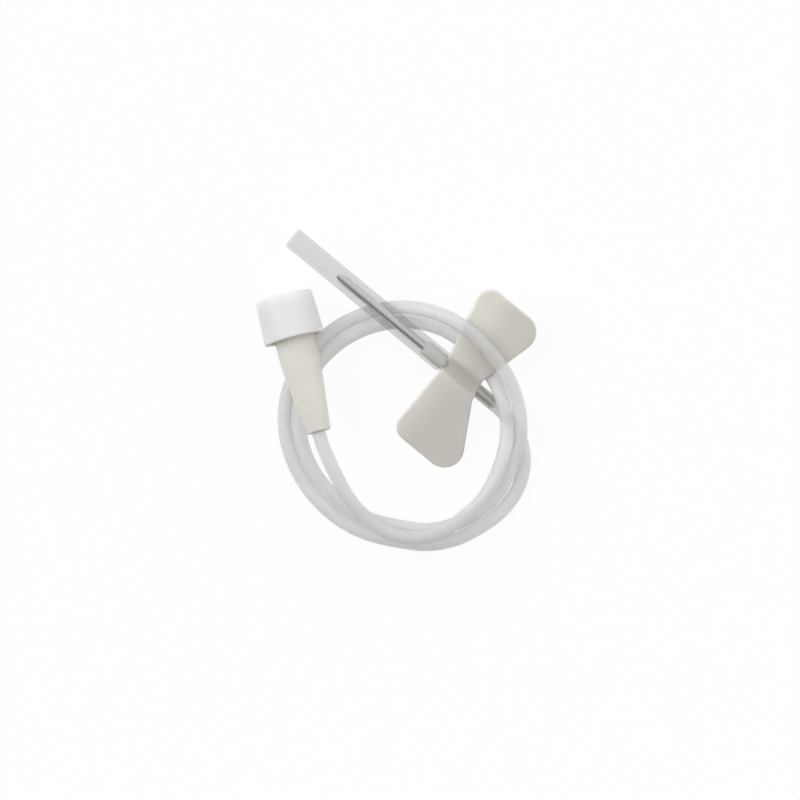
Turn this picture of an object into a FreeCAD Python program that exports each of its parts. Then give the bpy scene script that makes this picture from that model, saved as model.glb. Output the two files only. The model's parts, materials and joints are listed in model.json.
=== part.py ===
import FreeCAD, Part
import math
import os

import Sketcher
from FreeCAD import Placement, Rotation, Vector

# Winged infusion set, lying coiled on a table. Millimetres and degrees, +Z up, table at Z = 0.
# The needle unit (sheath, steel cannula, winged hub) lies along +X with its point towards -X.
# Its own axes: x along the needle towards the tubing, y across the wings, z out of the wings'
# top face, with the origin at the middle of the hub. The connector's own x axis starts at the
# mouth of its socket and runs towards the tubing.

doc = FreeCAD.newDocument("winged_infusion_set")

SIZES = (
    # Where the needle unit lies: the sheath rests on two strands of tubing, the tail on the table
    ("needleUnitX", 14.45),
    ("needleUnitY", -0.15),
    ("needleUnitZ", 2.62),
    ("needlePitch", 7.3),
    ("needleRoll", 6.0),
    # Steel cannula
    ("cannulaOuter", 1.65),
    ("cannulaBore", 1.25),
    ("cannulaExposed", 19.7),
    ("cannulaTail", 4.4),
    ("bevelLength", 4.1),
    # Hub: a nose that holds the sheath, and a barrel that holds the tubing
    ("noseOuter", 2.65),
    ("noseLength", 4.35),
    ("noseLead", 0.35),
    ("barrelOuter", 3.2),
    ("barrelLength", 7.2),
    ("barrelEdge", 0.3),
    ("tubeSocketDepth", 3.0),
    # Wings: flat plates on the top of the barrel
    ("wingThickness", 0.8),
    ("wingUnderside", 0.75),
    ("wingCorner", 2.5),
    ("wingRearCorner", 3.4),
    ("wingRootFlare", 0.3),
    ("webHalfWidth", 1.85),
    ("upperReach", 15.65),
    ("upperFrontRoot", 4.0),
    ("upperRearRoot", 3.1),
    ("upperFrontTip", 7.5),
    ("upperRearTip", 6.7),
    ("lowerReach", 14.75),
    ("lowerFrontRoot", 3.5),
    ("lowerRearRoot", 4.4),
    ("lowerFrontTip", 3.25),
    ("lowerRearTip", 12.0),
    ("foldGap", 0.15),
    ("foldLine", 1.95),
    ("lowerDroop", 4.2),
    # Needle sheath
    ("sheathClearance", 0.05),
    ("sheathWall", 0.5),
    ("sheathLength", 33.95),
    ("sheathSeatGap", 0.15),
    ("sheathTipRound", 0.25),
    # Tubing
    ("tubeOuter", 2.4),
    # Connector
    ("connectorX", -16.6),
    ("connectorY", -9.75),
    ("connectorHeading", -35.8),
    ("connectorTilt", 5.5),
    ("connectorLength", 22.8),
    ("connectorHead", 6.9),
    ("connectorHeadLength", 10.6),
    ("connectorTail", 4.3),
    ("connectorEdge", 0.35),
    ("socketMouth", 4.27),
    ("socketTaper", 0.06),
    ("socketDepth", 8.5),
    ("socketFloorCone", 0.6),
    ("lumen", 1.4),
    ("connectorTubeDepth", 4.5),
    ("lugReach", 0.45),
    ("lugLength", 1.3),
    ("lugAngle", 60.0),
    # Connector cap
    ("capEndOuter", 9.9),
    ("capRimOuter", 10.5),
    ("capLength", 7.7),
    ("capEndWall", 1.4),
    ("capEdge", 0.5),
    ("capSkirtGap", 0.35),
    ("capFaceGap", 0.1),
    ("plugLength", 5.0),
    ("plugClearance", 0.03),
    ("plugLead", 0.4),
)

sheet = doc.addObject("Spreadsheet::Sheet", "Sizes")
for row, (alias, value) in enumerate(SIZES, start=1):
    sheet.set("A%d" % row, alias)
    sheet.set("B%d" % row, str(value))
    sheet.setAlias("B%d" % row, alias)
doc.recompute()


def size(alias):
    """Return the number in one named cell of the sheet."""
    return float(sheet.get(alias))


def formula(text):
    """Write the aliases in a formula as references to the sheet."""
    words = []
    for word in text.split():
        words.append("Sizes." + word if word[0].isalpha() else word)
    return " ".join(words)


def origin_plane(body, role):
    """Return one of a body's own origin planes."""
    return next(item for item in body.Origin.OriginFeatures if item.Role == role)


def outline(body, name, role, corners):
    """Draw a closed outline of straight lines, each corner placed by two formulas of the sheet."""
    sketch = body.newObject("Sketcher::SketchObject", name)
    sketch.AttachmentSupport = [(origin_plane(body, role), "")]
    sketch.MapMode = "FlatFace"
    count = len(corners)
    first = [
        Vector(math.cos(2 * math.pi * i / count), math.sin(2 * math.pi * i / count), 0)
        for i in range(count)
    ]
    for i in range(count):
        sketch.addGeometry(Part.LineSegment(first[i], first[(i + 1) % count]), False)
    for i in range(count):
        sketch.addConstraint(Sketcher.Constraint("Coincident", i, 2, (i + 1) % count, 1))
    for i, (across, along) in enumerate(corners):
        for kind, text, start in (
            ("DistanceX", across, first[i].x),
            ("DistanceY", along, first[i].y),
        ):
            number = sketch.addConstraint(Sketcher.Constraint(kind, -1, 1, i, 1, start))
            sketch.setExpression("Constraints[%d]" % number, formula(text))
    return sketch


def turned(body, name, corners):
    """Revolve an outline of (x, radius) corners about the body's own x axis."""
    sketch = outline(body, name + "_profile", "XZ_Plane", corners)
    feature = body.newObject("PartDesign::Revolution", name)
    feature.Profile = sketch
    feature.ReferenceAxis = (sketch, ["H_Axis"])
    feature.Angle = 360
    doc.recompute()
    return feature


def bored(body, name, corners):
    """Cut an outline of (x, radius) corners, revolved about the x axis, out of a body."""
    sketch = outline(body, name + "_profile", "XZ_Plane", corners)
    volume = body.Shape.Volume
    feature = body.newObject("PartDesign::Groove", name)
    feature.Profile = sketch
    feature.ReferenceAxis = (sketch, ["H_Axis"])
    feature.Angle = 360
    doc.recompute()
    if body.Shape.Volume >= volume:
        raise RuntimeError(name + " cuts nothing")
    return feature


def plate(body, name, corners):
    """Pad an outline in the wings' plane by the wings' thickness."""
    sketch = outline(body, name + "_outline", "XY_Plane", corners)
    sketch.setExpression("AttachmentOffset.Base.z", formula("wingUnderside"))
    feature = body.newObject("PartDesign::Pad", name)
    feature.Profile = sketch
    feature.setExpression("Length", formula("wingThickness"))
    doc.recompute()
    return feature


def rounded(body, name, base, radius, wanted):
    """Fillet the edges of a feature that a test picks out."""
    edges = ["Edge%d" % (i + 1) for i, edge in enumerate(base.Shape.Edges) if wanted(edge)]
    if not edges:
        raise RuntimeError(name + " finds no edge")
    feature = body.newObject("PartDesign::Fillet", name)
    feature.Base = (base, edges)
    feature.setExpression("Radius", formula(radius))
    doc.recompute()
    return feature


def is_plate_corner(edge, reach, side):
    """Tell the upright edge at a wing's outer end, in front of the hub's middle or behind it."""
    ends = [vertex.Point for vertex in edge.Vertexes]
    if len(ends) != 2:
        return False
    upright = (ends[1] - ends[0]).cross(Vector(0, 0, 1)).Length < 1e-6
    outer = abs(abs(ends[0].y) - size(reach)) < 1e-6
    return upright and outer and ends[0].x * side > 0


def needle_unit_place():
    """Return the placement of the needle unit's own axes."""
    spot = Vector(size("needleUnitX"), size("needleUnitY"), size("needleUnitZ"))
    return Placement(spot, Rotation(0, size("needlePitch"), size("needleRoll")))


def connector_place():
    """Return the placement of the connector's axes, with the cap's end resting on the table."""
    tilt = math.radians(size("connectorTilt"))
    end = size("capEndWall") + size("capFaceGap") - size("capEdge")
    height = size("capEndOuter") / 2 * math.cos(tilt) + end * math.sin(tilt)
    spot = Vector(size("connectorX"), size("connectorY"), height)
    return Placement(spot, Rotation(size("connectorHeading"), -size("connectorTilt"), 0))


def fold_place():
    """Return the placement of the free wing, drooped about its fold line at the top face."""
    top = size("wingUnderside") + size("wingThickness")
    line = Vector(0, -size("foldLine"), top)
    droop = Placement(Vector(), Rotation(Vector(1, 0, 0), size("lowerDroop")), line)
    return needle_unit_place().multiply(droop)


# Wing hub: nose, barrel, the web on top of the barrel and the wing that lies between strands
hub = doc.addObject("PartDesign::Body", "wing_hub")
hub.Label = "wing_hub"
turned(
    hub,
    "barrel_and_nose",
    (
        ("- barrelLength / 2 - noseLength", "0"),
        ("- barrelLength / 2 - noseLength", "noseOuter / 2 - noseLead / 2"),
        ("- barrelLength / 2 - noseLength + noseLead", "noseOuter / 2"),
        ("- barrelLength / 2", "noseOuter / 2"),
        ("- barrelLength / 2", "barrelOuter / 2 - barrelEdge"),
        ("- barrelLength / 2 + barrelEdge", "barrelOuter / 2"),
        ("barrelLength / 2 - barrelEdge", "barrelOuter / 2"),
        ("barrelLength / 2", "barrelOuter / 2 - barrelEdge"),
        ("barrelLength / 2", "0"),
    ),
)
upper = plate(
    hub,
    "upper_wing",
    (
        ("- lowerFrontRoot", "- webHalfWidth"),
        ("lowerRearRoot", "- webHalfWidth"),
        ("upperRearRoot", "webHalfWidth"),
        ("upperRearTip", "upperReach"),
        ("- upperFrontTip", "upperReach"),
        ("- upperFrontRoot", "webHalfWidth + wingRootFlare"),
        ("- barrelLength / 2", "webHalfWidth"),
    ),
)
upper = rounded(
    hub, "upper_front_corner", upper, "wingCorner", lambda e: is_plate_corner(e, "upperReach", -1)
)
rounded(
    hub, "upper_rear_corner", upper, "wingRearCorner", lambda e: is_plate_corner(e, "upperReach", 1)
)
bored(
    hub,
    "cannula_bore",
    (
        ("- barrelLength - noseLength", "0"),
        ("- barrelLength - noseLength", "cannulaOuter / 2"),
        ("barrelLength", "cannulaOuter / 2"),
        ("barrelLength", "0"),
    ),
)
bored(
    hub,
    "tube_socket",
    (
        ("barrelLength / 2 - tubeSocketDepth", "0"),
        ("barrelLength / 2 - tubeSocketDepth", "tubeOuter / 2"),
        ("barrelLength", "tubeOuter / 2"),
        ("barrelLength", "0"),
    ),
)

# Free wing: the other half of the moulding, which folds up along its fold line
wing = doc.addObject("PartDesign::Body", "free_wing")
wing.Label = "free_wing"
lower = plate(
    wing,
    "lower_wing",
    (
        ("- lowerFrontRoot", "- webHalfWidth - foldGap"),
        ("- lowerFrontTip", "- lowerReach"),
        ("lowerRearTip", "- lowerReach"),
        ("lowerRearRoot", "- webHalfWidth - foldGap"),
    ),
)
lower = rounded(
    wing, "lower_front_corner", lower, "wingCorner", lambda e: is_plate_corner(e, "lowerReach", -1)
)
rounded(
    wing, "lower_rear_corner", lower, "wingRearCorner", lambda e: is_plate_corner(e, "lowerReach", 1)
)

# Steel cannula: a drawn tube, ground to a bevel that faces up
cannula = doc.addObject("PartDesign::Body", "needle_cannula")
cannula.Label = "needle_cannula"
turned(
    cannula,
    "shaft",
    (
        ("- barrelLength / 2 - noseLength - cannulaExposed", "cannulaBore / 2"),
        ("- barrelLength / 2 - noseLength - cannulaExposed", "cannulaOuter / 2"),
        ("barrelLength / 2 + cannulaTail", "cannulaOuter / 2"),
        ("barrelLength / 2 + cannulaTail", "cannulaBore / 2"),
    ),
)
shaft_volume = cannula.Shape.Volume
bevel = cannula.newObject("PartDesign::Pocket", "bevel")
bevel.Profile = outline(
    cannula,
    "bevel_profile",
    "XZ_Plane",
    (
        ("- barrelLength / 2 - noseLength - cannulaExposed", "- cannulaOuter / 2"),
        (
            "- barrelLength / 2 - noseLength - cannulaExposed + 2 * bevelLength",
            "cannulaOuter * 1.5",
        ),
        ("- barrelLength / 2 - noseLength - cannulaExposed - cannulaOuter", "cannulaOuter * 1.5"),
        ("- barrelLength / 2 - noseLength - cannulaExposed - cannulaOuter", "- cannulaOuter / 2"),
    ),
)
bevel.Type = "ThroughAll"
bevel.SideType = "Symmetric"
doc.recompute()
if cannula.Shape.Volume >= shaft_volume:
    raise RuntimeError("the bevel cuts nothing")

# Needle sheath: a plain open tube that pushes on to the nose
sheath = doc.addObject("PartDesign::Body", "needle_sheath")
sheath.Label = "needle_sheath"
SHEATH_END = "- barrelLength / 2 - sheathSeatGap"
SHEATH_BORE = "noseOuter / 2 + sheathClearance"
turned(
    sheath,
    "sheath_tube",
    (
        (SHEATH_END, SHEATH_BORE),
        (SHEATH_END, SHEATH_BORE + " + sheathWall"),
        (SHEATH_END + " - sheathLength + sheathTipRound", SHEATH_BORE + " + sheathWall"),
        (SHEATH_END + " - sheathLength", SHEATH_BORE + " + sheathWall - sheathTipRound"),
        (SHEATH_END + " - sheathLength", SHEATH_BORE),
    ),
)

# Connector: a tapered socket at the mouth, a lumen, and a socket for the tubing at the tail
connector = doc.addObject("PartDesign::Body", "connector")
connector.Label = "connector"
SOCKET_END = "socketMouth / 2 - socketDepth * socketTaper / 2"
turned(
    connector,
    "connector_body",
    (
        ("0", "socketMouth / 2"),
        ("0", "connectorHead / 2 - connectorEdge"),
        ("connectorEdge", "connectorHead / 2"),
        ("connectorHeadLength", "connectorHead / 2"),
        ("connectorLength - connectorEdge", "connectorTail / 2"),
        ("connectorLength", "connectorTail / 2 - connectorEdge / 2"),
        ("connectorLength", "tubeOuter / 2"),
        ("connectorLength - connectorTubeDepth", "tubeOuter / 2"),
        ("connectorLength - connectorTubeDepth", "lumen / 2"),
        ("socketDepth + socketFloorCone", "lumen / 2"),
        ("socketDepth", SOCKET_END),
    ),
)
lug_profile = outline(
    connector,
    "lug_profile",
    "XZ_Plane",
    (
        ("0", "connectorHead / 2 - 2 * connectorEdge"),
        ("0", "connectorHead / 2 + lugReach"),
        ("lugLength", "connectorHead / 2 + lugReach"),
        ("lugLength + lugReach", "connectorHead / 2 - 2 * connectorEdge"),
    ),
)
lug = connector.newObject("PartDesign::Revolution", "lug")
lug.Profile = lug_profile
lug.ReferenceAxis = (lug_profile, ["H_Axis"])
lug.Midplane = True
lug.setExpression("Angle", formula("lugAngle"))
doc.recompute()
lug_pair = connector.newObject("PartDesign::PolarPattern", "lug_pair")
lug_pair.Originals = [lug]
lug_pair.Axis = (lug_profile, ["H_Axis"])
lug_pair.Angle = 360
lug_pair.Occurrences = 2
connector.Tip = lug_pair
doc.recompute()

# Connector cap: an end wall, a skirt over the lugs and a tapered plug in the socket
cap = doc.addObject("PartDesign::Body", "connector_cap")
cap.Label = "connector_cap"
CAP_FACE = "- capFaceGap"
CAP_END = "- capFaceGap - capEndWall"
SKIRT = "connectorHead / 2 + lugReach + capSkirtGap"
turned(
    cap,
    "cap_shell",
    (
        (CAP_END, "0"),
        (CAP_END, "capEndOuter / 2 - capEdge"),
        (CAP_END + " + capEdge", "capEndOuter / 2"),
        (CAP_END + " + capLength", "capRimOuter / 2"),
        (CAP_END + " + capLength", SKIRT + " + plugLead / 2"),
        (CAP_END + " + capLength - plugLead / 2", SKIRT),
        (CAP_FACE, SKIRT),
        (CAP_FACE, "socketMouth / 2 - plugClearance"),
        (
            "plugLength - plugLead",
            "socketMouth / 2 - plugClearance - ( plugLength - plugLead ) * socketTaper / 2",
        ),
        (
            "plugLength",
            "socketMouth / 2 - plugClearance - plugLength * socketTaper / 2 - plugLead / 2",
        ),
        ("plugLength", "0"),
    ),
)

# Tubing: straight runs joined by tangent arcs, about two and a half turns on the table
TUBE_ROUTE = (
    (29.6, -1.7, 1.20),
    (33.0, -5.0, 1.20),
    (34.7, -9.1, 1.20),
    (34.9, -13.5, 1.20),
    (33.8, -17.9, 1.20),
    (32.0, -22.2, 1.20),
    (28.9, -26.0, 1.20),
    (24.6, -28.7, 1.20),
    (20.3, -31.0, 1.20),
    (15.4, -32.4, 1.20),
    (10.3, -32.5, 1.20),
    (5.3, -31.5, 1.20),
    (0.7, -29.4, 1.20),
    (-3.4, -26.2, 1.20),
    (-6.4, -22.0, 1.20),
    (-8.1, -17.0, 1.20),
    (-8.3, -11.8, 1.20),
    (-7.1, -6.2, 1.20),
    (-4.7, -1.6, 1.20),
    # second turn: over the upper wing and down between the first turn and the third
    (-2.0, 1.7, 1.75),
    (1.1, 4.1, 4.50),
    (4.6, 5.8, 6.40),
    (8.5, 6.8, 7.10),
    (12.8, 6.8, 6.85),
    (16.7, 6.2, 6.20),
    (20.5, 5.2, 5.35),
    (24.3, 3.3, 4.15),
    (27.9, 0.2, 3.78),
    (30.3, -3.4, 3.66),
    (31.6, -8.0, 2.60),
    (32.4, -12.2, 1.25),
    (31.6, -16.6, 1.20),
    (30.0, -20.5, 1.20),
    (27.2, -24.0, 1.20),
    (23.35, -26.6, 1.20),
    (18.9, -28.85, 1.20),
    (14.4, -30.0, 1.20),
    (9.5, -29.9, 1.20),
    (4.4, -28.5, 1.20),
    (-0.1, -25.8, 1.20),
    (-3.3, -22.2, 1.20),
    (-5.2, -18.2, 1.20),
    (-5.8, -13.7, 1.20),
    (-5.2, -8.6, 1.20),
    (-3.0, -3.6, 1.20),
    (0.0, 0.2, 1.20),
    (3.7, 2.8, 1.20),
    (7.4, 4.3, 1.20),
    (10.7, 4.7, 1.20),
    # third turn: out from under the upper wing, over the tail, then on the lower strands
    (14.0, 4.5, 1.20),
    (17.5, 3.8, 1.40),
    (20.6, 2.5, 2.80),
    (23.5, 0.7, 4.10),
    (26.4, -1.8, 4.45),
    (28.9, -5.7, 4.90),
    (30.3, -9.8, 4.50),
    (31.1, -13.8, 3.85),
    (30.5, -18.1, 3.75),
    (29.3, -22.4, 3.70),
    (26.8, -26.4, 3.60),
    (23.1, -28.7, 3.70),
    (18.7, -29.3, 3.85),
    (14.3, -29.0, 4.40),
    (10.6, -27.7, 5.90),
    (7.3, -26.2, 7.20),
)
TAIL_CORNER = 10.6
EXIT_CORNER = 2.2
ARC_SHARE = 0.45

needle_place = needle_unit_place()
plug_place = connector_place()


def along(place, distance):
    """Return the point on a placement's x axis at a distance from its origin."""
    return place.multVec(Vector(distance, 0, 0))


def cord_edges(points):
    """Return the line and arc edges of a route, and its arc radii."""
    edges, radii = [], []
    start = points[0]
    for before, corner, after in zip(points, points[1:], points[2:]):
        back = before - corner
        ahead = after - corner
        reach = ARC_SHARE * min(back.Length, ahead.Length)
        half_turn = (math.pi - back.getAngle(ahead)) / 2
        radius = reach / math.tan(half_turn)
        inward = (back.normalize() + ahead.normalize()).normalize()
        enter = corner + back * reach
        leave = corner + ahead * reach
        middle = corner + inward * (radius / math.cos(half_turn) - radius)
        edges.append(Part.LineSegment(start, enter).toShape())
        edges.append(Part.Arc(enter, middle, leave).toShape())
        radii.append(radius)
        start = leave
    edges.append(Part.LineSegment(start, points[-1]).toShape())
    return edges, radii


tube_start = size("barrelLength") / 2 - size("tubeSocketDepth")
tube_end = size("connectorLength") - size("connectorTubeDepth")
route = [along(needle_place, tube_start), along(needle_place, TAIL_CORNER)]
route += [Vector(*point) for point in TUBE_ROUTE]
route += [
    along(plug_place, size("connectorLength") + EXIT_CORNER),
    along(plug_place, tube_end),
]
edges, radii = cord_edges(route)
path = Part.Wire(edges)
needle_axis = along(needle_place, 1) - along(needle_place, 0)
section = Part.Wire(Part.makeCircle(size("tubeOuter") / 2, route[0], needle_axis))
tube_shape = path.makePipeShell([section], True, False)
tube_volume = math.pi * size("tubeOuter") ** 2 / 4 * path.Length
if abs(tube_shape.Volume - tube_volume) > 0.01 * tube_volume:
    raise RuntimeError("the tubing's volume is not its section times its length")
# the end of the bore, opened by the rear of the cannula
cannula_rear = size("barrelLength") / 2 + size("cannulaTail")
bore = Part.makeCylinder(
    size("cannulaOuter") / 2, cannula_rear - tube_start, route[0], needle_axis
)
tubing = doc.addObject("Part::Feature", "tubing")
tubing.Label = "tubing"
tubing.Shape = tube_shape.cut(bore)
tubing.Placement = Placement()

for body in (hub, cannula, sheath):
    body.Placement = needle_place
wing.Placement = fold_place()
connector.Placement = plug_place
cap.Placement = plug_place
doc.recompute()

for item in doc.Objects:
    if "Invalid" in item.State or "Error" in item.State:
        raise RuntimeError("failed object: " + item.Label)

os.makedirs("parts", exist_ok=True)
for node in (hub, wing, cannula, sheath, tubing, connector, cap):
    shape = node.Shape
    if shape.isNull() or not shape.isValid():
        raise RuntimeError("bad shape: " + node.Label)
    shape.exportStep("parts/" + node.Label + ".step")
    box = shape.BoundBox
    print(
        "%-15s %d solid  %9.2f mm3  x %.2f..%.2f  y %.2f..%.2f  z %.2f..%.2f"
        % (
            node.Label, len(shape.Solids), shape.Volume,
            box.XMin, box.XMax, box.YMin, box.YMax, box.ZMin, box.ZMax,
        )
    )
print("tubing length %.1f mm" % path.Length)
print("tubing radii " + " ".join("%.1f" % radius for radius in radii))
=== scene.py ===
"""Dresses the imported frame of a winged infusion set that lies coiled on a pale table.

The row frame is in metres, +Z up, with the table at Z = 0. Sizes here are in millimetres, in a
sub-assembly's own axes: the needle unit's x runs along the needle towards the tubing, its y across
the wings and its z out of their flat face, and the connector's x runs from its mouth to the tubing.
"""

from __future__ import annotations

import json
import logging
import math
from dataclasses import dataclass, replace
from enum import Enum

import bmesh
import bpy
import numpy as np
from mathutils import Euler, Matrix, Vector

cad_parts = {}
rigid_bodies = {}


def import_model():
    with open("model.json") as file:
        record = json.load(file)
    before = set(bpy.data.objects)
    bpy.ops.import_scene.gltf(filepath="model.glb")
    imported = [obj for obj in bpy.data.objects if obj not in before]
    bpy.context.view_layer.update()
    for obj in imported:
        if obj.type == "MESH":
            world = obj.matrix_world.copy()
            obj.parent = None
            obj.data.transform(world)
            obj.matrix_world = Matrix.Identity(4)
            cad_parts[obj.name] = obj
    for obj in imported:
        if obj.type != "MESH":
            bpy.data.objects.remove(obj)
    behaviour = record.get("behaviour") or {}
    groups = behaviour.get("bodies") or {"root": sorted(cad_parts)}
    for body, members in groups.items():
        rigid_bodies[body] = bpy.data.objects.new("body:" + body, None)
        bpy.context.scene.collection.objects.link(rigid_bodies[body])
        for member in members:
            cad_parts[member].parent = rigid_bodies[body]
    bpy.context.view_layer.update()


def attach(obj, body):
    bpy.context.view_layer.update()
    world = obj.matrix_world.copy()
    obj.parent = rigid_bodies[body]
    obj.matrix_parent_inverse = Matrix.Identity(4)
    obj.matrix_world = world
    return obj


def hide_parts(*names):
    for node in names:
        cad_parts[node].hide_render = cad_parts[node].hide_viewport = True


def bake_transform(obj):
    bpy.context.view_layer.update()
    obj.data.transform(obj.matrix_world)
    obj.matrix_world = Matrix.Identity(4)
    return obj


LOG = logging.getLogger("infusion_set")
MM = 0.001
# Points closer than this, in metres, are one point
MELT = 2e-6
# A colour Mix node's two colours, and its result
MIX_FIRST, MIX_SECOND, MIX_RESULT = 6, 7, 2
PLASTIC_IOR = 1.5
# How far red, green and blue light wander in plastic, as shares of its scatter reach
SCATTER_TINT = (1.0, 0.95, 0.88)

# Sizes that two pieces share, in millimetres
NEEDLE_OUTER = 1.65
TUBING_OUTER = 2.4
SOCKET_MOUTH = 4.27
SOCKET_TAPER = 0.06
CONNECTOR_LENGTH = 22.8
TUBE_DEPTH = 4.5

Colour = tuple[float, float, float]
Shell = tuple[np.ndarray, np.ndarray]


class Bodies(Enum):
    """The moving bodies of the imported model."""

    HUB = "hub"
    SHEATH = "sheath"
    WING = "wing"
    CAP = "cap"


class Slots(Enum):
    """The record's material slots."""

    MOULDING = "soft_moulding"
    STEEL = "steel"
    SHEATH = "sheath_plastic"
    TUBING = "tubing_plastic"
    CONNECTOR = "connector_plastic"
    CAP = "cap_plastic"


@dataclass(frozen=True)
class Axes:
    """A sub-assembly's own axes, placed in the row frame, in millimetres and degrees."""

    x: float
    y: float
    z: float
    yaw: float = 0.0
    pitch: float = 0.0
    roll: float = 0.0

    def place(self, points: np.ndarray) -> np.ndarray:
        """Carry points from these axes into the row frame.

        Args:
            points: an array whose last axis is x, y, z, in millimetres.

        Returns:
            The points in metres, in the row frame.
        """
        angles = [math.radians(a) for a in (self.roll, self.pitch, self.yaw)]
        turn = np.array(Euler(angles, "XYZ").to_matrix())
        return (points @ turn.T + np.array([self.x, self.y, self.z])) * MM

    def spot(self, x: float, y: float = 0.0, z: float = 0.0) -> tuple[float, float, float]:
        """Return one point of these axes in the row frame, in metres."""
        return tuple(float(v) for v in self.place(np.array([x, y, z])))


NEEDLE_AXES = Axes(14.45, -0.15, 2.62, pitch=7.3, roll=6.0)
CONNECTOR_AXES = Axes(-16.6, -9.75, 5.023, yaw=-35.8, pitch=-5.5)


def linear(red: float, green: float, blue: float) -> tuple[float, float, float, float]:
    """Turn a display colour of 0 to 255 into the linear colour that a shader takes.

    Args:
        red, green, blue: the colour as it shows on a screen.

    Returns:
        The linear colour with an alpha of 1.
    """
    shown = np.array([red, green, blue]) / 255
    low = shown / 12.92
    high = ((shown + 0.055) / 1.055) ** 2.4
    value = np.where(shown <= 0.04045, low, high)
    return (float(value[0]), float(value[1]), float(value[2]), 1.0)


def smoothstep(value: np.ndarray, low: float, high: float) -> np.ndarray:
    """Rise from 0 at low to 1 at high as 3t^2 - 2t^3."""
    t = np.clip((value - low) / (high - low), 0, 1)
    return t * t * (3 - 2 * t)


def rounded_profile(
    corners: list[tuple[float, float, float]], closed: bool, steps: int = 7
) -> np.ndarray:
    """Round each corner of a profile with an arc that touches both of its sides.

    The arc's centre lies on the corner's bisector at rounding / sin(half angle), and its points
    turn evenly from one touching point to the other.

    Args:
        corners: rows of (x, radius, rounding).
        closed: whether the last corner joins the first.
        steps: points to an arc.

    Returns:
        An array of (x, radius) rows.
    """
    table = np.array(corners, float)
    points, rounding = table[:, :2], table[:, 2].copy()
    if not closed:
        rounding[[0, -1]] = 0
    back = np.roll(points, 1, 0) - points
    ahead = np.roll(points, -1, 0) - points
    back /= np.linalg.norm(back, axis=1, keepdims=True)
    ahead /= np.linalg.norm(ahead, axis=1, keepdims=True)
    half = np.arccos(np.clip((back * ahead).sum(1), -1, 1)) / 2
    turn = np.maximum(math.pi - 2 * half, 1e-6)[:, None, None]
    bisector = back + ahead
    bisector /= np.maximum(np.linalg.norm(bisector, axis=1, keepdims=True), 1e-9)
    reach = (rounding / np.tan(half))[:, None]
    centre = points + bisector * (rounding / np.sin(half))[:, None]
    enter = (points + back * reach - centre)[:, None, :]
    leave = (points + ahead * reach - centre)[:, None, :]
    t = np.linspace(0, 1, steps)[None, :, None]
    arcs = centre[:, None, :] + (
        np.sin((1 - t) * turn) * enter + np.sin(t * turn) * leave
    ) / np.sin(turn)
    arcs[rounding == 0] = points[rounding == 0][:, None, :]
    return arcs.reshape(-1, 2)


def turned(profile: np.ndarray, segments: int = 96) -> np.ndarray:
    """Revolve a profile about the x axis: y = r cos a and z = r sin a.

    Args:
        profile: rows of (x, radius).
        segments: columns round the axis.

    Returns:
        A grid of points, one row to a profile point and one column to an angle.
    """
    angle = np.linspace(0, 2 * math.pi, segments, endpoint=False)[None, :]
    along, radius = profile[:, :1], profile[:, 1:]
    along = np.broadcast_to(along, (len(profile), segments))
    return np.stack([along, radius * np.cos(angle), radius * np.sin(angle)], axis=-1)


def shell(grid: np.ndarray, rows_close: bool) -> Shell:
    """Join a grid of points with four-sided faces; its columns always close.

    Args:
        grid: points as rows, columns and x, y, z.
        rows_close: whether the last row joins the first.

    Returns:
        The points as one list, and the faces as rows of four indices.
    """
    rows, columns = grid.shape[:2]
    index = np.arange(rows * columns).reshape(rows, columns)
    if rows_close:
        index = np.vstack([index, index[:1]])
    across = np.roll(index, -1, axis=1)
    faces = np.stack([index[:-1], across[:-1], across[1:], index[1:]], axis=-1)
    return grid.reshape(-1, 3), faces.reshape(-1, 4)


def make_piece(name: str, axes: Axes, *shells: Shell) -> bpy.types.Object:
    """Make one smooth mesh object of closed shells, in the row frame.

    Args:
        name: the object's name.
        axes: the axes that the shells' points are in.
        shells: points and faces, in millimetres.

    Returns:
        The object, at the origin, with its place in its mesh.
    """
    starts = np.cumsum([0] + [len(points) for points, _ in shells[:-1]])
    points = axes.place(np.concatenate([points for points, _ in shells]))
    faces = np.concatenate([faces + start for (_, faces), start in zip(shells, starts)])
    mesh = bpy.data.meshes.new(name)
    mesh.from_pydata(points.tolist(), [], faces.tolist())
    work = bmesh.new()
    work.from_mesh(mesh)
    bmesh.ops.remove_doubles(work, verts=work.verts, dist=MELT)
    bmesh.ops.recalc_face_normals(work, faces=work.faces)
    work.to_mesh(mesh)
    work.free()
    mesh.shade_smooth()
    piece = bpy.data.objects.new(name, mesh)
    bpy.context.scene.collection.objects.link(piece)
    return piece


def line_core(piece: bpy.types.Object, axes: Axes, radius: float, ahead_of: float) -> None:
    """Give a piece's second material to its faces near an x axis.

    Args:
        piece: a piece with two materials.
        axes: the axes whose x line is the core.
        radius: how far from the line the second material reaches, in millimetres.
        ahead_of: the x at which it stops.
    """
    origin = Vector(axes.spot(0))
    along = (Vector(axes.spot(1)) - origin).normalized()
    for face in piece.data.polygons:
        offset = Vector(face.center) - origin
        near = offset.cross(along).length < radius * MM
        face.material_index = int(near and offset.dot(along) < ahead_of * MM)


def settle(piece: bpy.types.Object, body: Bodies, slot: Slots, *nodes: str) -> None:
    """Let a piece ride on a body and stand for the CAD nodes it replaces.

    Args:
        piece: the finished object.
        body: the body that carries it.
        slot: the record's material slot; not used.
        nodes: the names of the CAD nodes that it replaces.
    """
    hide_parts(*nodes)
    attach(piece, body.value)
    LOG.info("%s stands for %s", piece.name, ", ".join(nodes))


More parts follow.
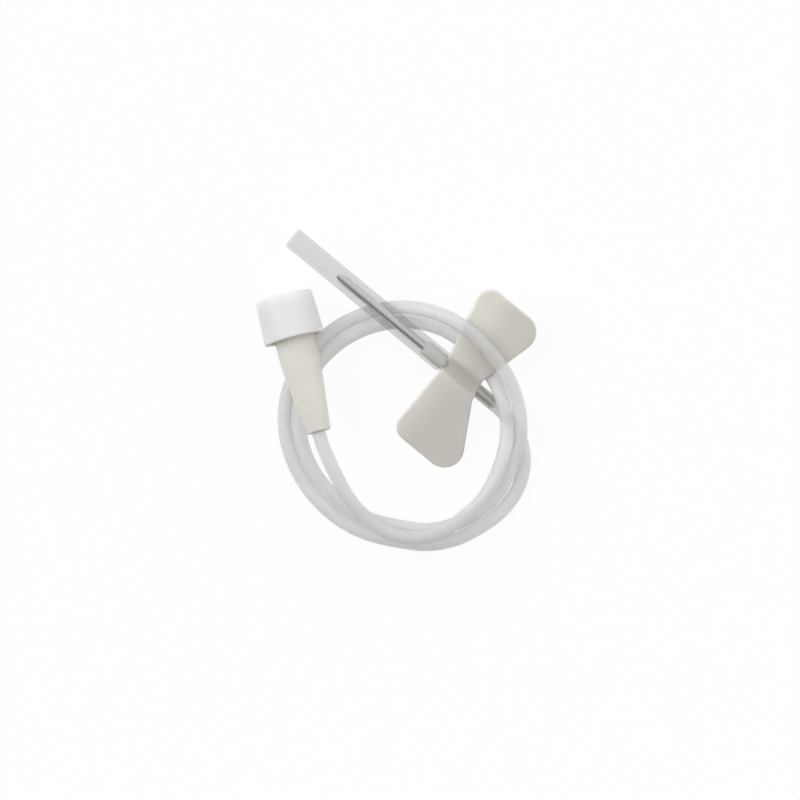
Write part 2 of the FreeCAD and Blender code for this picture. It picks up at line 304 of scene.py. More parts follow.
class SurfaceGroup:
    """The shader node group that gives moulded plastic its mottling and fine grain."""

    NAME = "moulded_surface"
    ROUGHNESS_SPREAD = 0.12

    @classmethod
    def tree(cls) -> bpy.types.NodeTree:
        """Return the group, built the first time it is asked for.

        Returns:
            A group whose outputs are a mottled colour, a roughness and a grained normal.
        """
        made = bpy.data.node_groups.get(cls.NAME)
        return made if made else cls._build()

    @classmethod
    def _build(cls) -> bpy.types.NodeTree:
        """Build the group: slow noise mixes two colours, and fine noise drives a bump."""
        tree = bpy.data.node_groups.new(cls.NAME, "ShaderNodeTree")
        sockets = (
            ("Colour", "NodeSocketColor"),
            ("Second colour", "NodeSocketColor"),
            ("Mottle scale", "NodeSocketFloat"),
            ("Mottle", "NodeSocketFloat"),
            ("Grain scale", "NodeSocketFloat"),
            ("Grain depth", "NodeSocketFloat"),
            ("Roughness", "NodeSocketFloat"),
        )
        for name, kind in sockets:
            tree.interface.new_socket(name, in_out="INPUT", socket_type=kind)
        tree.interface.new_socket("Colour", in_out="OUTPUT", socket_type="NodeSocketColor")
        tree.interface.new_socket("Roughness", in_out="OUTPUT", socket_type="NodeSocketFloat")
        tree.interface.new_socket("Normal", in_out="OUTPUT", socket_type="NodeSocketVector")
        enter = tree.nodes.new("NodeGroupInput")
        leave = tree.nodes.new("NodeGroupOutput")
        place = tree.nodes.new("ShaderNodeTexCoord")
        slow = tree.nodes.new("ShaderNodeTexNoise")
        fine = tree.nodes.new("ShaderNodeTexNoise")
        slow.inputs["Detail"].default_value = 2.0
        fine.inputs["Detail"].default_value = 3.0
        spread = tree.nodes.new("ShaderNodeMapRange")
        spread.inputs["From Min"].default_value = 0.35
        spread.inputs["From Max"].default_value = 0.65
        share = tree.nodes.new("ShaderNodeMath")
        share.operation = "MULTIPLY"
        mix = tree.nodes.new("ShaderNodeMix")
        mix.data_type = "RGBA"
        rough = tree.nodes.new("ShaderNodeMath")
        rough.operation = "MULTIPLY_ADD"
        rough.inputs[1].default_value = cls.ROUGHNESS_SPREAD
        bump = tree.nodes.new("ShaderNodeBump")
        bump.inputs["Strength"].default_value = 0.6
        link = tree.links.new
        link(place.outputs["Object"], slow.inputs["Vector"])
        link(place.outputs["Object"], fine.inputs["Vector"])
        link(enter.outputs["Mottle scale"], slow.inputs["Scale"])
        link(enter.outputs["Grain scale"], fine.inputs["Scale"])
        link(slow.outputs["Fac"], spread.inputs["Value"])
        link(spread.outputs["Result"], share.inputs[0])
        link(enter.outputs["Mottle"], share.inputs[1])
        link(share.outputs["Value"], mix.inputs["Factor"])
        link(enter.outputs["Colour"], mix.inputs[MIX_FIRST])
        link(enter.outputs["Second colour"], mix.inputs[MIX_SECOND])
        link(mix.outputs[MIX_RESULT], leave.inputs["Colour"])
        link(fine.outputs["Fac"], rough.inputs[0])
        link(enter.outputs["Roughness"], rough.inputs[2])
        link(rough.outputs["Value"], leave.inputs["Roughness"])
        link(fine.outputs["Fac"], bump.inputs["Height"])
        link(enter.outputs["Grain depth"], bump.inputs["Distance"])
        link(bump.outputs["Normal"], leave.inputs["Normal"])
        return tree


@dataclass(frozen=True)
class Plastic:
    """A moulded or drawn plastic finish.

    Colours are display colours of 0 to 255, lengths are in millimetres.
    """

    name: str
    colour: Colour
    second: Colour
    roughness: float = 0.4
    mottle_size: float = 6.0
    mottle: float = 0.6
    grain_size: float = 0.25
    grain_depth: float = 0.004
    scatter: float = 0.0
    scatter_reach: float = 0.8
    alpha: float = 1.0

    def material(self) -> bpy.types.Material:
        """Build the finish's material.

        Returns:
            A node material whose colour, roughness and normal come from the surface group.
        """
        made = bpy.data.materials.new(self.name)
        made.use_nodes = True
        tree = made.node_tree
        shader = tree.nodes["Principled BSDF"]
        group = tree.nodes.new("ShaderNodeGroup")
        group.name = "surface"
        group.node_tree = SurfaceGroup.tree()
        group.inputs["Colour"].default_value = linear(*self.colour)
        group.inputs["Second colour"].default_value = linear(*self.second)
        group.inputs["Mottle scale"].default_value = 1 / (self.mottle_size * MM)
        group.inputs["Mottle"].default_value = self.mottle
        group.inputs["Grain scale"].default_value = 1 / (self.grain_size * MM)
        group.inputs["Grain depth"].default_value = self.grain_depth * MM
        group.inputs["Roughness"].default_value = self.roughness
        tree.links.new(group.outputs["Colour"], shader.inputs["Base Color"])
        tree.links.new(group.outputs["Roughness"], shader.inputs["Roughness"])
        tree.links.new(group.outputs["Normal"], shader.inputs["Normal"])
        shader.inputs["IOR"].default_value = PLASTIC_IOR
        shader.inputs["Subsurface Weight"].default_value = self.scatter
        shader.inputs["Subsurface Radius"].default_value = SCATTER_TINT
        shader.inputs["Subsurface Scale"].default_value = self.scatter_reach * MM
        shader.inputs["Alpha"].default_value = self.alpha
        return made


@dataclass(frozen=True)
class Steel:
    """Drawn and polished steel, with fine draw lines along the needle."""

    name: str
    colour: Colour
    roughness: float
    line_size: float = 0.05
    line_stretch: float = 0.02
    smoothest: float = 0.8
    roughest: float = 1.3

    def material(self) -> bpy.types.Material:
        """Build the steel's material.

        Returns:
            A metal whose roughness follows noise stretched along x.
        """
        made = bpy.data.materials.new(self.name)
        made.use_nodes = True
        tree = made.node_tree
        shader = tree.nodes["Principled BSDF"]
        shader.inputs["Base Color"].default_value = linear(*self.colour)
        shader.inputs["Metallic"].default_value = 1.0
        place = tree.nodes.new("ShaderNodeTexCoord")
        stretch = tree.nodes.new("ShaderNodeMapping")
        stretch.inputs["Scale"].default_value = (self.line_stretch, 1.0, 1.0)
        lines = tree.nodes.new("ShaderNodeTexNoise")
        lines.inputs["Scale"].default_value = 1 / (self.line_size * MM)
        rough = tree.nodes.new("ShaderNodeMapRange")
        rough.inputs["To Min"].default_value = self.roughness * self.smoothest
        rough.inputs["To Max"].default_value = self.roughness * self.roughest
        link = tree.links.new
        link(place.outputs["Object"], stretch.inputs["Vector"])
        link(stretch.outputs["Vector"], lines.inputs["Vector"])
        link(lines.outputs["Fac"], rough.inputs["Value"])
        link(rough.outputs["Result"], shader.inputs["Roughness"])
        return made


MOULDING = Plastic(
    "soft_vinyl",
    colour=(208, 205, 199),
    second=(203, 198, 193),
    roughness=0.42,
    scatter=0.6,
    scatter_reach=1.2,
)
# Painted light: the nose is paler to make up for the shade that the sheath casts on it
NOSE_PAINTED_LIGHT = replace(MOULDING, name="soft_vinyl_nose_painted_light", colour=(234, 231, 222), second=(230, 226, 217))
SHEATH = Plastic(
    "frosted_sheath",
    colour=(174, 174, 177),
    second=(166, 166, 169),
    roughness=0.3,
    mottle_size=9.0,
    grain_depth=0.0005,
    alpha=0.28,
)
SHEATH_BORE = Plastic(
    "clear_bore",
    colour=(168, 168, 170),
    second=(160, 160, 162),
    roughness=0.2,
    grain_depth=0.0005,
    alpha=0.02,
)
TUBING = Plastic(
    "milky_tubing",
    colour=(225, 224, 224),
    second=(220, 218, 218),
    roughness=0.3,
    mottle_size=12.0,
    grain_depth=0.001,
    scatter=1.0,
    scatter_reach=2.0,
    alpha=0.55,
)
CONNECTOR = Plastic(
    "ivory_connector",
    colour=(239, 236, 228),
    second=(234, 229, 220),
    roughness=0.35,
    scatter=0.6,
    scatter_reach=2.0,
    alpha=0.8,
)
CAP = Plastic(
    "white_cap",
    colour=(253, 251, 250),
    second=(249, 247, 246),
    roughness=0.4,
    scatter=0.6,
    scatter_reach=2.0,
    alpha=0.82,
)
CANNULA = Steel("needle_steel", colour=(226, 226, 224), roughness=0.2)
# The steel as it shows through the moulding, darkened further with painted shade of the barrel's
# groove, and the steel as it shows through the tubing
STEEL_AND_SHADE_IN_MOULDING = (170, 166, 157)
STEEL_IN_TUBING = (186, 184, 178)
# Painted light: a paler moulding colour ahead of the hub
FRONT_PAINTED_LIGHT = (226, 224, 217)


@dataclass
class Cannula:
    """The steel needle, ground to a bevel whose point is at the top."""

    outer: float = NEEDLE_OUTER
    bore: float = 1.25
    point_x: float = -27.65
    rear_x: float = 8.0
    bevel: float = 4.1
    edge: float = 0.03
    sharp_angle: float = 18.0

    def build(self) -> bpy.types.Object:
        """Build the tube and grind it: each point's x is at least the bevel plane's there."""
        profile = rounded_profile(
            [
                (self.point_x, self.bore / 2, 0.0),
                (self.point_x, self.outer / 2, 0.0),
                (self.rear_x, self.outer / 2, self.edge),
                (self.rear_x, self.bore / 2, self.edge),
            ],
            closed=True,
        )
        grid = turned(profile, 64)
        plane = self.point_x + (0.5 - grid[..., 2] / self.outer) * self.bevel
        grid[..., 0] = np.maximum(grid[..., 0], plane)
        piece = make_piece("steel_needle", NEEDLE_AXES, shell(grid, True))
        piece.data.set_sharp_from_angle(angle=math.radians(self.sharp_angle))
        piece.data.materials.append(CANNULA.material())
        settle(piece, Bodies.HUB, Slots.STEEL, "needle_cannula")
        return piece


@dataclass
class Sheath:
    """The plain open tube over the needle, frosted outside and clear in its bore."""

    mouth_x: float = -3.75
    length: float = 33.95
    bore: float = 2.75
    wall: float = 0.5
    bore_skin: float = 0.1
    bore_end: float = 1.0

    def build(self) -> bpy.types.Object:
        """Build the tube from its wall's outline, turned about the needle's axis."""
        inner, outer = self.bore / 2, self.bore / 2 + self.wall
        tip = self.mouth_x - self.length
        profile = rounded_profile(
            [
                (self.mouth_x, inner, 0.1),
                (self.mouth_x, outer, 0.15),
                (tip, outer, 0.3),
                (tip, inner, 0.12),
            ],
            closed=True,
        )
        piece = make_piece("needle_guard", NEEDLE_AXES, shell(turned(profile), True))
        piece.data.materials.append(SHEATH.material())
        piece.data.materials.append(SHEATH_BORE.material())
        line_core(piece, NEEDLE_AXES, inner + self.bore_skin, self.mouth_x + self.bore_end)
        settle(piece, Bodies.SHEATH, Slots.SHEATH, "needle_sheath")
        return piece


@dataclass
class WingedMoulding:
    """Nose, barrel and both wings, as the one soft moulding that they are."""

    barrel: float = 3.2
    barrel_half: float = 3.6
    nose: float = 2.65
    nose_x: float = -7.95
    needle: float = NEEDLE_OUTER
    thickness: float = 0.8
    underside: float = 0.75
    upper_reach: float = 15.65
    lower_reach: float = 14.75
    fold_y: float = -1.95
    droop: float = 4.2
    rim: float = 0.5
    groove: float = 0.28
    groove_y: float = 0.25
    groove_width: float = 1.15
    ridge: float = 0.10
    ridge_y: float = 2.6
    ridge_width: float = 0.9
    fillet_inside: float = 0.08
    fillet_outside: float = 0.15
    rim_power: float = 2.4
    nose_overlap: float = 0.6
    nose_skin: float = 0.1
    bend_before: float = 0.3
    bend_after: float = 0.5
    blend_before: float = 0.55
    blend_after: float = 0.65
    middle_x: float = 1.5
    core_spot: tuple[float, float, float] = (0.2, 0.45, 0)
    core_size: tuple[float, float, float] = (8.0, 1.9, 30)
    arc_steps: int = 15
    columns: int = 46

    @property
    def middle_z(self) -> float:
        """Return the height of the wings' middle plane."""
        return self.underside + self.thickness / 2

    def outline(self) -> np.ndarray:
        """Return the wings' outline, rounded at the outer corners and at the waist."""
        corners = [
            (-3.25, -self.lower_reach, 2.5),
            (12.0, -self.lower_reach, 3.4),
            (4.25, -1.9, 0.8),
            (3.4, 1.9, 0.8),
            (6.7, self.upper_reach, 3.4),
            (-7.5, self.upper_reach, 2.5),
            (-4.0, 2.0, 0.8),
            (-3.5, -1.0, 0.8),
        ]
        return rounded_profile(corners, closed=True, steps=self.arc_steps)

    def build(self) -> bpy.types.Object:
        """Build the moulding, its nose paler as painted light, with the free wing drooped."""
        piece = make_piece(
            "winged_moulding", NEEDLE_AXES, self._wings(), shell(self._nose(), True)
        )
        piece.data.materials.append(self._material())
        # The nose's faces take the paler material, painted light
        piece.data.materials.append(NOSE_PAINTED_LIGHT.material())
        skin = self.nose_skin
        line_core(piece, NEEDLE_AXES, self.nose / 2 + skin, -self.barrel_half - skin)
        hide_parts("wing_hub", "free_wing")
        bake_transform(piece)
        LOG.info("%s stands for both halves of the moulding", piece.name)
        return piece

    def _nose(self) -> np.ndarray:
        """Return the nose, a short tube on the needle with a rounded front edge."""
        rear = -self.barrel_half + self.nose_overlap
        profile = rounded_profile(
            [
                (self.nose_x, self.needle / 2, 0.05),
                (self.nose_x, self.nose / 2, 0.25),
                (rear, self.nose / 2, 0.05),
                (rear, self.needle / 2, 0.05),
            ],
            closed=True,
        )
        return turned(profile, 72)

    def _wings(self) -> Shell:
        """Return the wings and barrel: loops of constant y, with heights worked out over x and y.

        The half thickness falls to nothing at the outline as a superellipse of the distance to
        it. The barrel hangs below as a circle, with a fillet into the plate. A shallow groove and a
        low ridge run along the top. The free wing droops about its fold line.
        """
        outline = self.outline()
        y = self._stations()
        front, rear = self._edges(outline, y)
        t = (1 - np.cos(np.linspace(0, math.pi, self.columns))) / 2
        x = front[:, None] + (rear - front)[:, None] * t[None, :]
        level = np.broadcast_to(y[:, None], x.shape)
        share = self._rim(self._inset(outline, x, level))
        middle = self.middle_z
        groove = np.exp(-(((level - self.groove_y) / self.groove_width) ** 2))
        ridge = np.exp(-(((level - self.ridge_y) / self.ridge_width) ** 2))
        top = self.thickness / 2 - self.groove * groove
        top += self.ridge * ridge
        radius = self.barrel / 2
        hang = np.sqrt(np.clip(radius**2 - np.clip(level, -radius, radius) ** 2, 0, None))
        fillet = (radius - self.fillet_inside, radius + self.fillet_outside)
        barrel = (middle + hang) * (1 - smoothstep(np.abs(level), *fillet))
        below = np.maximum(barrel, self.thickness / 2)
        upper = np.stack([x, level, middle + top * share], axis=-1)
        lower = np.stack([x, level, middle - below * share], axis=-1)
        grid = np.concatenate([upper, lower[:, -2:0:-1]], axis=1)
        return shell(self._drooped(grid), False)

    def _stations(self) -> np.ndarray:
        """Return the loops' y values, close together at the wings' ends and at the barrel."""
        end_depth, end_steps, plate_steps = 4.0, 26, 22
        waist_low, waist_high, waist_steps = -3.2, 3.4, 67
        ends = 1 - np.cos(np.linspace(0, math.pi / 2, end_steps))
        low = -self.lower_reach + end_depth * ends
        high = self.upper_reach - end_depth * ends[::-1]
        waist = np.linspace(waist_low, waist_high, waist_steps)
        left = np.linspace(low[-1], waist[0], plate_steps)[1:-1]
        right = np.linspace(waist[-1], high[0], plate_steps)[1:-1]
        return np.concatenate([low, left, waist, right, high])

    def _edges(self, outline: np.ndarray, y: np.ndarray) -> tuple[np.ndarray, np.ndarray]:
        """Return the outline's front and rear x at each y, each side from its own half."""
        first, half = self.arc_steps, len(outline) // 2
        rear = outline[first:half + first]
        rear = rear[rear[:, 0] > self.middle_x]
        front = np.concatenate([outline[half + first:], outline[:first]])[::-1]
        front = front[front[:, 0] < self.middle_x]
        return (
            np.interp(y, front[:, 1], front[:, 0]),
            np.interp(y, rear[:, 1], rear[:, 0]),
        )

    def _inset(self, outline: np.ndarray, x: np.ndarray, y: np.ndarray) -> np.ndarray:
        """Return each point's distance to the nearest side of the outline."""
        start = outline[None]
        side = np.roll(outline, -1, axis=0)[None] - start
        length = np.maximum((side**2).sum(-1), 1e-12)
        spots = np.stack([x.ravel(), y.ravel()], axis=-1)[:, None, :]
        t = np.clip(((spots - start) * side).sum(-1) / length, 0, 1)
        gap = np.linalg.norm(spots - start - side * t[..., None], axis=-1)
        return gap.min(axis=1).reshape(x.shape)

    def _rim(self, inset: np.ndarray) -> np.ndarray:
        """Return the share of full height at a distance from the outline."""
        t = 1 - np.clip(inset / self.rim, 0, 1)
        return (1 - t**self.rim_power) ** (1 / self.rim_power)

    def _drooped(self, grid: np.ndarray) -> np.ndarray:
        """Lower the free wing by its droop, which sets in gently across the fold line."""
        past = self.fold_y - grid[..., 1]
        share = smoothstep(past, -self.bend_before, self.bend_after)
        angle = math.radians(self.droop) * share
        top = self.underside + self.thickness
        y = grid[..., 1] - self.fold_y
        z = grid[..., 2] - top
        bent = grid.copy()
        bent[..., 1] = self.fold_y + y * np.cos(angle) - z * np.sin(angle)
        bent[..., 2] = top + y * np.sin(angle) + z * np.cos(angle)
        return bent

    def _material(self) -> bpy.types.Material:
        """Return the soft vinyl, paler ahead of the hub as painted light, and darker where steel
        shows through, with painted shade of the groove.

        Returns:
            The material. Its texture space is a ball stretched along the needle: the ball's middle
            is the dark core, the steel showing through with painted shade of the groove, and the
            paler colour, painted light, comes in towards the needle's point.
        """
        made = MOULDING.material()
        tree = made.node_tree
        shader = tree.nodes["Principled BSDF"]
        place = tree.nodes.new("ShaderNodeTexCoord")
        across = tree.nodes.new("ShaderNodeMapping")
        across.vector_type = "TEXTURE"
        across.inputs["Location"].default_value = NEEDLE_AXES.spot(*self.core_spot)
        across.inputs["Rotation"].default_value = (
            math.radians(NEEDLE_AXES.roll),
            math.radians(NEEDLE_AXES.pitch),
            0,
        )
        across.inputs["Scale"].default_value = [v * MM for v in self.core_size]
        ball = tree.nodes.new("ShaderNodeTexGradient")
        ball.gradient_type = "SPHERICAL"
        shade = tree.nodes.new("ShaderNodeMapRange")
        shade.interpolation_type = "SMOOTHSTEP"
        shade.inputs["From Max"].default_value = 0.45
        shade.inputs["To Max"].default_value = 0.5
        # The darker core: steel showing through, with painted shade of the barrel's groove
        core = tree.nodes.new("ShaderNodeMix")
        core.data_type = "RGBA"
        core.inputs[MIX_SECOND].default_value = linear(*STEEL_AND_SHADE_IN_MOULDING)
        split = tree.nodes.new("ShaderNodeSeparateXYZ")
        front = tree.nodes.new("ShaderNodeMapRange")
        front.interpolation_type = "SMOOTHSTEP"
        front.inputs["From Min"].default_value = 0.2
        front.inputs["From Max"].default_value = -0.55
        front.inputs["To Max"].default_value = 0.7
        # Painted light: the moulding made paler towards the needle's point
        pale = tree.nodes.new("ShaderNodeMix")
        pale.data_type = "RGBA"
        pale.inputs[MIX_SECOND].default_value = linear(*FRONT_PAINTED_LIGHT)
        link = tree.links.new
        link(place.outputs["Object"], across.inputs["Vector"])
        link(across.outputs["Vector"], ball.inputs["Vector"])
        link(ball.outputs["Fac"], shade.inputs["Value"])
        link(shade.outputs["Result"], core.inputs["Factor"])
        link(across.outputs["Vector"], split.inputs["Vector"])
        link(split.outputs["X"], front.inputs["Value"])
        link(front.outputs["Result"], pale.inputs["Factor"])
        link(tree.nodes["surface"].outputs["Colour"], pale.inputs[MIX_FIRST])
        link(pale.outputs[MIX_RESULT], core.inputs[MIX_FIRST])
        link(core.outputs[MIX_RESULT], shader.inputs["Base Color"])
        return made


@dataclass
class Connector:
    """The tapered socket with its two lugs, and the long cone that holds the tubing."""

    head: float = 6.9
    head_length: float = 10.6
    length: float = CONNECTOR_LENGTH
    tail: float = 4.3
    mouth: float = SOCKET_MOUTH
    taper: float = SOCKET_TAPER
    socket: float = 8.5
    floor_cone: float = 0.6
    lumen: float = 1.4
    tubing: float = TUBING_OUTER
    tube_depth: float = TUBE_DEPTH
    lug: float = 0.45
    lug_length: float = 1.3
    lug_fade: float = 0.5
    lug_inside: float = 0.3
    lug_edge: float = 0.2
    lug_angles: tuple[float, float] = (57.0, 63.0)
    lug_rows: tuple[float, ...] = (0.6, 1.3, 1.9)

    def build(self) -> bpy.types.Object:
        """Build the connector as one turned wall, with the lugs raised from its rim."""
        floor = self.mouth / 2 - self.socket * self.taper / 2
        inner_end = self.length - self.tube_depth
        profile = rounded_profile(
            [
                (0.0, self.mouth / 2, 0.1),
                (0.0, self.head / 2, 0.3),
                *((x, self.head / 2, 0.0) for x in self.lug_rows),
                (self.head_length, self.head / 2, 6.0),
                (self.length, self.tail / 2, 0.3),
                (self.length, self.tubing / 2, 0.1),
                (inner_end, self.tubing / 2, 0.05),
                (inner_end, self.lumen / 2, 0.1),
                (self.socket + self.floor_cone, self.lumen / 2, 0.2),
                (self.socket, floor, 0.2),
            ],
            closed=True,
        )
        grid = self._with_lugs(turned(profile))
        piece = make_piece("socket_connector", CONNECTOR_AXES, shell(grid, True))
        piece.data.materials.append(CONNECTOR.material())
        settle(piece, Bodies.HUB, Slots.CONNECTOR, "connector")
        return piece

    def _with_lugs(self, grid: np.ndarray) -> np.ndarray:
        """Raise the rim's outside by the lug's reach over 30 degrees each side of +z and -z."""
        radius = np.hypot(grid[..., 1], grid[..., 2])
        outside = smoothstep(radius, self.mouth / 2 + self.lug_inside, self.head / 2 - self.lug_edge)
        angle = np.degrees(np.arctan2(np.abs(grid[..., 2]), np.abs(grid[..., 1])))
        window = smoothstep(angle, *self.lug_angles)
        fade = (self.lug_length, self.lug_length + self.lug_fade)
        along = 1 - smoothstep(grid[..., 0], *fade)
        factor = 1 + self.lug * outside * window * along / radius
        grid[..., 1:] *= factor[..., None]
        return grid


@dataclass
class Cap:
    """The push-on cap: an end wall, a skirt over the lugs and a plug in the socket."""

    end_outer: float = 9.9
    rim_outer: float = 10.5
    length: float = 7.7
    wall: float = 1.4
    face_gap: float = 0.1
    skirt: float = 8.5
    mouth: float = SOCKET_MOUTH
    taper: float = SOCKET_TAPER
    clearance: float = 0.03
    plug: float = 5.0

    def build(self) -> bpy.types.Object:
        """Build the cap as one turned outline that starts and ends on the axis."""
        face = -self.face_gap
        end = face - self.wall
        rim = end + self.length
        root = self.mouth / 2 - self.clearance
        nose = root - self.plug * self.taper / 2
        profile = rounded_profile(
            [
                (end, 0.0, 0.0),
                (end, self.end_outer / 2, 0.6),
                (rim, self.rim_outer / 2, 0.2),
                (rim, self.skirt / 2 + 0.1, 0.1),
                (face, self.skirt / 2, 0.3),
                (face, root, 0.02),
                (self.plug, nose, 0.3),
                (self.plug, 0.0, 0.0),
            ],
            closed=False,
        )
        piece = make_piece("push_on_cap", CONNECTOR_AXES, shell(turned(profile), False))
        piece.data.materials.append(CAP.material())
        settle(piece, Bodies.CAP, Slots.CAP, "connector_cap")
        return piece


# Points of the tubing's route between its two straight ends, in millimetres
ROUTE = (
    (29.6, -1.7, 1.20),
    (33.0, -5.0, 1.20),
    (34.7, -9.1, 1.20),
    (34.9, -13.5, 1.20),
    (33.8, -17.9, 1.20),
    (32.0, -22.2, 1.20),
    (28.9, -26.0, 1.20),
    (24.6, -28.7, 1.20),
    (20.3, -31.0, 1.20),
    (15.4, -32.4, 1.20),
    (10.3, -32.5, 1.20),
    (5.3, -31.5, 1.20),
    (0.7, -29.4, 1.20),
    (-3.4, -26.2, 1.20),
    (-6.4, -22.0, 1.20),
    (-8.1, -17.0, 1.20),
    (-8.3, -11.8, 1.20),
    (-7.1, -6.2, 1.20),
    (-4.7, -1.6, 1.20),
    # second turn: over the upper wing and down between the first turn and the third
    (-2.0, 1.7, 1.75),
    (1.1, 4.1, 4.50),
    (4.6, 5.8, 6.40),
    (8.5, 6.8, 7.10),
    (12.8, 6.8, 6.85),
    (16.7, 6.2, 6.20),
    (20.5, 5.2, 5.35),
    (24.3, 3.3, 4.15),
    (27.9, 0.2, 3.78),
    (30.3, -3.4, 3.66),
    (31.7, -8.0, 2.60),
    (32.5, -12.2, 1.25),
    (31.65, -16.61, 1.20),
    (30.06, -20.52, 1.20),
    (27.32, -24.09, 1.20),
    (23.35, -26.60, 1.20),
    (18.92, -28.91, 1.20),
    (14.40, -30.05, 1.20),
    (9.49, -29.95, 1.20),
    (4.35, -28.59, 1.50),
    (-0.17, -25.87, 1.60),
    (-3.42, -22.27, 1.60),
    (-5.29, -18.23, 1.60),
    (-5.96, -13.71, 1.60),
    (-5.29, -8.58, 1.60),
    (-3.11, -3.54, 1.40),
    (0.0, 0.2, 1.20),
    (3.65, 2.93, 1.20),
    (7.4, 4.4, 1.20),
    (10.7, 4.7, 1.20),
    # third turn: out from under the upper wing, over the tail, then on the lower strands
    (14.0, 4.5, 1.20),
    (17.5, 3.8, 1.40),
    (20.6, 2.5, 2.80),
    (23.55, 0.77, 4.10),
    (26.45, -1.74, 4.45),
    (28.9, -5.7, 4.90),
    (30.3, -9.8, 4.50),
    (31.1, -13.8, 3.85),
    (30.5, -18.1, 3.75),
    (29.3, -22.4, 3.70),
    (26.8, -26.4, 3.60),
    (23.1, -28.7, 3.70),
    (18.7, -29.3, 3.85),
    (14.3, -29.0, 4.40),
    (10.6, -27.7, 5.90),
    (7.3, -26.2, 7.20),
)


@dataclass
class Tubing:
    """The limp tubing, from the hub's socket round the coil to the connector's tail."""

    outer: float = TUBING_OUTER
    length: float = 316.5
    start_x: float = 0.6
    straight_x: float = 5.7
    corner_x: float = 10.6
    connector_length: float = CONNECTOR_LENGTH
    tube_depth: float = TUBE_DEPTH
    exit_x: float = 2.2
    bond_x: float = 1.2
    steel_x: float = 4.2
    steel_size: tuple[float, float, float] = (4.6, 1.9, 1.9)
    steel_fade: float = 0.12
    steel_alpha: float = 0.5

    def build(self) -> bpy.types.Object:
        """Build the tubing as a curve of order 3 through the route's control points."""
        end = self.connector_length
        points = [NEEDLE_AXES.spot(x) for x in (self.start_x, self.straight_x, self.corner_x)]
        points += [tuple(v * MM for v in spot) for spot in ROUTE]
        points += [
            CONNECTOR_AXES.spot(x)
            for x in (end + self.exit_x, end - self.bond_x, end - self.tube_depth)
        ]
        curve = bpy.data.curves.new("tubing_line", "CURVE")
        curve.dimensions = "3D"
        curve.resolution_u = 10
        curve.bevel_depth = self.outer / 2 * MM
        curve.bevel_resolution = 10
        curve.use_fill_caps = True
        spline = curve.splines.new("NURBS")
        spline.points.add(len(points) - 1)
        spline.points.foreach_set("co", np.insert(np.array(points), 3, 1.0, axis=1).ravel())
        spline.order_u = 3
        spline.use_endpoint_u = True
        piece = bpy.data.objects.new("coiled_tubing", curve)
        bpy.context.scene.collection.objects.link(piece)
        curve.materials.append(self._material())
        settle(piece, Bodies.HUB, Slots.TUBING, "tubing")
        return piece

    def _material(self) -> bpy.types.Material:
        """Return the tubing's finish, clearer and greyer over the steel behind the hub."""
        made = TUBING.material()
        tree = made.node_tree
        shader = tree.nodes["Principled BSDF"]
        place = tree.nodes.new("ShaderNodeTexCoord")
        reach = tree.nodes.new("ShaderNodeMapping")
        reach.vector_type = "TEXTURE"
        reach.inputs["Location"].default_value = NEEDLE_AXES.spot(self.steel_x)
        reach.inputs["Rotation"].default_value = (0, math.radians(NEEDLE_AXES.pitch), 0)
        reach.inputs["Scale"].default_value = [v * MM for v in self.steel_size]
        ball = tree.nodes.new("ShaderNodeTexGradient")
        ball.gradient_type = "SPHERICAL"
        clear = tree.nodes.new("ShaderNodeMapRange")
        clear.inputs["From Max"].default_value = self.steel_fade
        clear.inputs["To Min"].default_value = TUBING.alpha
        clear.inputs["To Max"].default_value = self.steel_alpha
        tint = tree.nodes.new("ShaderNodeMapRange")
        tint.inputs["From Max"].default_value = self.steel_fade
        steel = tree.nodes.new("ShaderNodeMix")
        steel.data_type = "RGBA"
        steel.inputs[MIX_SECOND].default_value = linear(*STEEL_IN_TUBING)
        link = tree.links.new
        link(place.outputs["Object"], reach.inputs["Vector"])
        link(reach.outputs["Vector"], ball.inputs["Vector"])
        link(ball.outputs["Fac"], clear.inputs["Value"])
        link(clear.outputs["Result"], shader.inputs["Alpha"])
        link(ball.outputs["Fac"], tint.inputs["Value"])
        link(tint.outputs["Result"], steel.inputs["Factor"])
        link(tree.nodes["surface"].outputs["Colour"], steel.inputs[MIX_FIRST])
        link(steel.outputs[MIX_RESULT], shader.inputs["Base Color"])
        return made


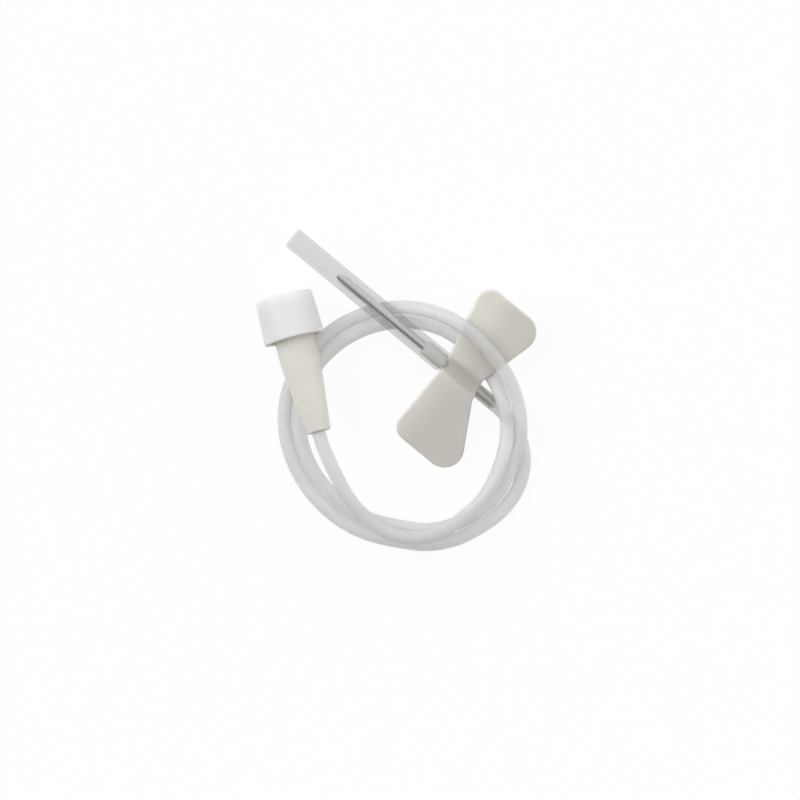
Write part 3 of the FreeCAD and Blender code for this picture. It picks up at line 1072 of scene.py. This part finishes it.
@dataclass
class Studio:
    """The pale table, the soft lights and the camera straight above."""

    roll: float = 39.58
    aim_x: float = 9.1
    aim_y: float = -9.9
    height: float = 3000.0
    view_width: float = 137.9
    sun_strength: float = 1.3
    sun_from: tuple[float, float, float] = (-1.0, -0.45, 0.9)
    sun_angle: float = 40.0
    sky: float = 1.02
    sensor: float = 36.0
    table_white: float = 0.95
    table_glow: float = 0.93

    def build(self) -> None:
        """Build the table, the lights, the world and the camera."""
        self._table()
        self._sun()
        self._world()
        self._camera()

    def _table(self) -> None:
        """Build the table: white to the camera, with a share of shadow kept."""
        bpy.ops.mesh.primitive_plane_add(size=6.0)
        table = bpy.context.object
        table.name = "table_top"
        made = bpy.data.materials.new("white_table")
        made.use_nodes = True
        tree = made.node_tree
        shader = tree.nodes["Principled BSDF"]
        shader.inputs["Base Color"].default_value = (*[self.table_white] * 3, 1.0)
        shader.inputs["Roughness"].default_value = 0.9
        shader.inputs["Specular IOR Level"].default_value = 0.0
        glow = tree.nodes.new("ShaderNodeEmission")
        path = tree.nodes.new("ShaderNodeLightPath")
        share = tree.nodes.new("ShaderNodeMath")
        share.operation = "MULTIPLY"
        share.inputs[1].default_value = self.table_glow
        mix = tree.nodes.new("ShaderNodeMixShader")
        link = tree.links.new
        link(path.outputs["Is Camera Ray"], share.inputs[0])
        link(share.outputs["Value"], mix.inputs["Fac"])
        link(shader.outputs["BSDF"], mix.inputs[1])
        link(glow.outputs["Emission"], mix.inputs[2])
        link(mix.outputs["Shader"], tree.nodes["Material Output"].inputs["Surface"])
        table.data.materials.append(made)

    def _sun(self) -> None:
        """Build the soft key light, from the picture's left."""
        lamp = bpy.data.lights.new("key_light", "SUN")
        lamp.energy = self.sun_strength
        lamp.angle = math.radians(self.sun_angle)
        key = bpy.data.objects.new("key_light", lamp)
        key.rotation_euler = Vector(self.sun_from).to_track_quat("Z", "Y").to_euler()
        bpy.context.scene.collection.objects.link(key)

    def _world(self) -> None:
        """Build the sky: white to the camera, and otherwise bright but darker towards -Y."""
        world = bpy.data.worlds.new("studio_sky")
        bpy.context.scene.world = world
        world.use_nodes = True
        tree = world.node_tree
        sky = tree.nodes["Background"]
        place = tree.nodes.new("ShaderNodeTexCoord")
        split = tree.nodes.new("ShaderNodeSeparateXYZ")
        level = tree.nodes.new("ShaderNodeMapRange")
        level.interpolation_type = "SMOOTHSTEP"
        level.inputs["From Min"].default_value = -0.98
        level.inputs["From Max"].default_value = 0.35
        level.inputs["To Min"].default_value = 0.02
        scale = tree.nodes.new("ShaderNodeMath")
        scale.operation = "MULTIPLY"
        scale.inputs[1].default_value = self.sky
        seen = tree.nodes.new("ShaderNodeBackground")
        path = tree.nodes.new("ShaderNodeLightPath")
        mix = tree.nodes.new("ShaderNodeMixShader")
        link = tree.links.new
        link(place.outputs["Generated"], split.inputs["Vector"])
        link(split.outputs["Y"], level.inputs["Value"])
        link(level.outputs["Result"], scale.inputs[0])
        link(scale.outputs["Value"], sky.inputs["Strength"])
        sky.inputs["Color"].default_value = (1.0, 1.0, 1.0, 1.0)
        seen.inputs["Color"].default_value = (1.0, 1.0, 1.0, 1.0)
        link(path.outputs["Is Camera Ray"], mix.inputs["Fac"])
        link(sky.outputs["Background"], mix.inputs[1])
        link(seen.outputs["Background"], mix.inputs[2])
        link(mix.outputs["Shader"], tree.nodes["World Output"].inputs["Surface"])

    def _camera(self) -> None:
        """Build the camera, rolled so that the needle runs down to the right."""
        lens = bpy.data.cameras.new("camera")
        lens.sensor_width = self.sensor
        lens.lens = self.sensor * self.height / self.view_width
        lens.clip_end = 10.0
        camera = bpy.data.objects.new("camera", lens)
        camera.location = (self.aim_x * MM, self.aim_y * MM, self.height * MM)
        camera.rotation_euler = (0.0, 0.0, math.radians(self.roll))
        bpy.context.scene.collection.objects.link(camera)
        bpy.context.scene.camera = camera


def main() -> None:
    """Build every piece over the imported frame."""
    logging.basicConfig(level=logging.INFO, format="%(name)s: %(message)s")
    for item in list(bpy.data.objects):
        bpy.data.objects.remove(item)
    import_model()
    bpy.context.scene.view_settings.view_transform = "Standard"
    Studio().build()
    tubing = Tubing()
    tube = tubing.build()
    Cannula().build()
    Sheath().build()
    WingedMoulding().build()
    connector = Connector().build()
    cap = Cap().build()


if __name__ == "__main__":
    main()
